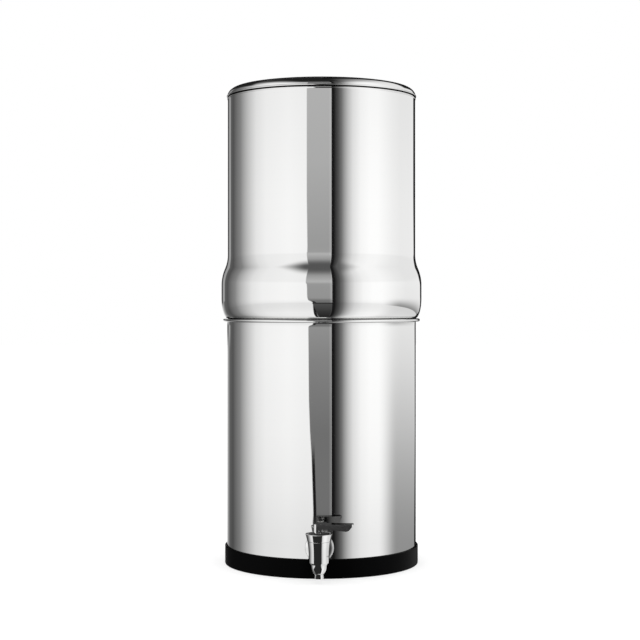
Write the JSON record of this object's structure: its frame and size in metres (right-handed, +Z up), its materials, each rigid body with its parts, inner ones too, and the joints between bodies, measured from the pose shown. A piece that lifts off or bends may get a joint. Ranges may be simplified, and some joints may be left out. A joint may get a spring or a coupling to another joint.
{
  "type": "gravity water filter with tap",
  "caption": "Free-standing countertop gravity water filter: polished steel upper chamber nested on a lower chamber with a lever tap, a domed lid and a black base.",
  "frame": {"origin": "centre of the base cup's underside, on the table, on the chambers' common axis", "axes": "+Z up along the chambers' axis; -Y towards the tap at the front; +X to the right as seen from the front"},
  "size_m": [0.2432, 0.2815, 0.5833],
  "materials": {
    "mirror_steel": "mirror-polished stainless steel sheet",
    "tap_chrome": "polished stainless steel casting",
    "fastener_steel": "machined stainless steel",
    "base_rubber": "satin black rubber",
    "seal_rubber": "matt black rubber",
    "red_seal": "matt red silicone rubber",
    "knob_plastic": "satin black plastic",
    "filter_plastic": "moulded dark grey plastic",
    "carbon_element": "pressed black carbon, fine grained",
    "white_nylon": "natural white nylon"
  },
  "bodies": {
    "stand": {"base_cup": "base_rubber", "lower_chamber": "mirror_steel", "tap_body": "tap_chrome", "outer_seal": "seal_rubber", "inner_seal": "seal_rubber", "lock_nut": "fastener_steel", "tap_bonnet": "tap_chrome", "stem_seal": "seal_rubber", "return_spring": "fastener_steel"},
    "upper": {"upper_chamber": "mirror_steel", "filter_element_left": "carbon_element", "filter_element_right": "carbon_element", "filter_foot_left": "filter_plastic", "filter_foot_right": "filter_plastic", "filter_seal_left": "red_seal", "filter_seal_right": "red_seal", "wing_nut_left": "white_nylon", "wing_nut_right": "white_nylon", "blocking_plugs": "filter_plastic", "plug_seals": "red_seal", "plug_nuts": "white_nylon"},
    "cover": {"lid": "mirror_steel", "lid_knob": "knob_plastic", "knob_screw": "fastener_steel", "knob_washer": "seal_rubber"},
    "turning_washer": {"thrust_washer": "knob_plastic"},
    "valve": {"valve_stem": "tap_chrome", "seat_cup": "seal_rubber", "lever_pin": "fastener_steel"},
    "handle": {"lever": "tap_chrome"}
  },
  "joints": [
    {"name": "chamber_lift", "type": "slide", "parent": "stand", "child": "upper", "axis": [0, 0, 1], "range_m": [0, 0.12]},
    {"name": "lid_lift", "type": "slide", "parent": "upper", "child": "cover", "axis": [0, 0, 1], "range_m": [0, 0.08]},
    {"name": "lever_swivel", "type": "hinge", "parent": "stand", "child": "turning_washer", "pos_m": [0, -0.1445, 0.056], "axis": [0, 0, 1], "range_deg": [-215, 35]},
    {"name": "stem_lift", "type": "slide", "parent": "turning_washer", "child": "valve", "axis": [0, 0, 1], "range_m": [0, 0.00298], "stiffness_N_per_m": 800, "springref_m": -0.003, "deforming": ["return_spring"]},
    {"name": "lever_flip", "type": "hinge", "parent": "valve", "child": "handle", "pos_m": [0, -0.1445, 0.05955], "axis": [0, -1, 0], "range_deg": [0, 90]}
  ],
  "couplings": [
    {"joint": "lever_flip", "follows": "stem_lift", "rad_per_m": 526.32}
  ]
}
